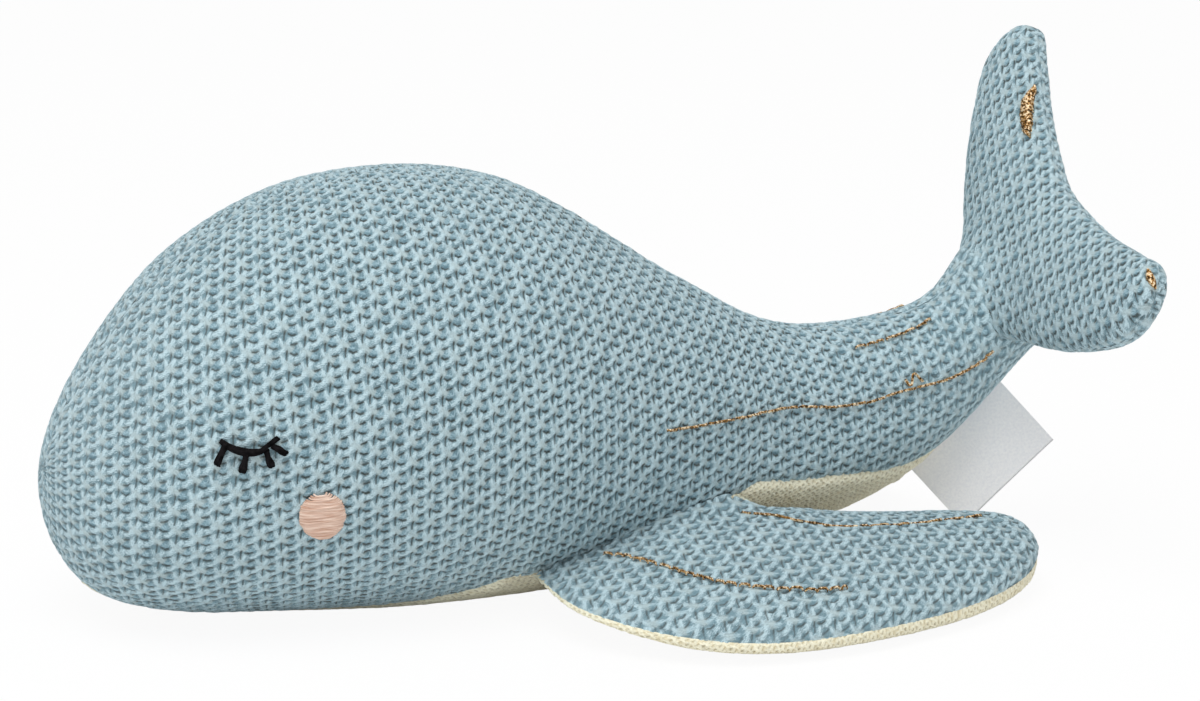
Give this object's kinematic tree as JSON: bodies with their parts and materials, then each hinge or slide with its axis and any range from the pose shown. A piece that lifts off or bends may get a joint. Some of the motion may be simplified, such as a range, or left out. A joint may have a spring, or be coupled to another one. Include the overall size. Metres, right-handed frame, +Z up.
{
  "type": "knitted whale plush toy",
  "caption": "Stuffed knitted whale with a swelling body tapering to an upturned lobed tail, flat side fins sewn into the belly seam, stitched eyes, cheeks and lines, and a folded seam label.",
  "frame": {"origin": "middle of the bounding box, at the height of the flat on the belly that the toy rests on", "axes": "-X towards the nose and +X towards the tail, -Y towards the whale's left side, +Z up"},
  "size_m": [0.2854, 0.1912, 0.1374],
  "materials": {
    "knit_blue": "soft moss-stitch knit in pale grey-blue yarn",
    "knit_cream": "fine plain knit in cream yarn",
    "wadding": "loose white polyester fibre filling",
    "sewing_thread": "spun polyester sewing thread in pale grey-blue",
    "black_thread": "matt black embroidery thread",
    "pink_satin": "satin-stitched pale pink thread with a low sheen",
    "gold_thread": "twisted metallised gold thread",
    "white_satin": "white woven satin ribbon, bare"
  },
  "bodies": {
    "torso": {"left_side_panel": "knit_blue", "right_side_panel": "knit_blue", "belly_gusset": "knit_cream", "body_stuffing": "wadding", "dorsal_seam_thread": "sewing_thread", "chin_seam_thread": "sewing_thread", "undertail_seam_thread": "sewing_thread", "left_belly_seam_thread": "sewing_thread", "right_belly_seam_thread": "sewing_thread", "left_eye_stitching": "black_thread", "right_eye_stitching": "black_thread", "left_cheek_patch": "pink_satin", "right_cheek_patch": "pink_satin", "left_flank_line_long": "gold_thread", "right_flank_line_long": "gold_thread", "left_flank_line_short": "gold_thread", "right_flank_line_short": "gold_thread"},
    "left_fin": {"left_fin_upper_panel": "knit_blue", "left_fin_lower_panel": "knit_cream", "left_fin_stuffing": "wadding", "left_fin_rim_thread": "sewing_thread", "left_fin_line_front": "gold_thread", "left_fin_line_rear": "gold_thread"},
    "right_fin": {"right_fin_upper_panel": "knit_blue", "right_fin_lower_panel": "knit_cream", "right_fin_stuffing": "wadding", "right_fin_rim_thread": "sewing_thread", "right_fin_line_front": "gold_thread", "right_fin_line_rear": "gold_thread"},
    "fluke": {"fluke_upper_panel": "knit_blue", "fluke_lower_panel": "knit_blue", "fluke_stuffing": "wadding", "fluke_rim_thread": "sewing_thread", "left_fluke_crescent": "gold_thread", "right_fluke_crescent": "gold_thread"},
    "label": {"sewn_label": "white_satin"}
  },
  "joints": [
    {"name": "left_fin_flap", "type": "hinge", "parent": "torso", "child": "left_fin", "pos_m": [0.0028, -0.0364, 0.02002], "axis": [-0.9606, -0.1218, -0.2499], "range_deg": [-15, 35], "stiffness_Nm_per_rad": 0.05},
    {"name": "right_fin_flap", "type": "hinge", "parent": "torso", "child": "right_fin", "pos_m": [0.0028, 0.0364, 0.02002], "axis": [0.9606, -0.1218, 0.2499], "range_deg": [-15, 35], "stiffness_Nm_per_rad": 0.05},
    {"name": "fluke_bend", "type": "hinge", "parent": "torso", "child": "fluke", "pos_m": [0.11911, 0, 0.0647], "axis": [0.0819, 0.8857, 0.4569], "range_deg": [-20, 35], "stiffness_Nm_per_rad": 0.05},
    {"name": "label_flip", "type": "hinge", "parent": "torso", "child": "label", "pos_m": [0.1077, 0, 0.03182], "axis": [0.768, 0, 0.6405], "range_deg": [-35, 35], "stiffness_Nm_per_rad": 0.0005}
  ]
}
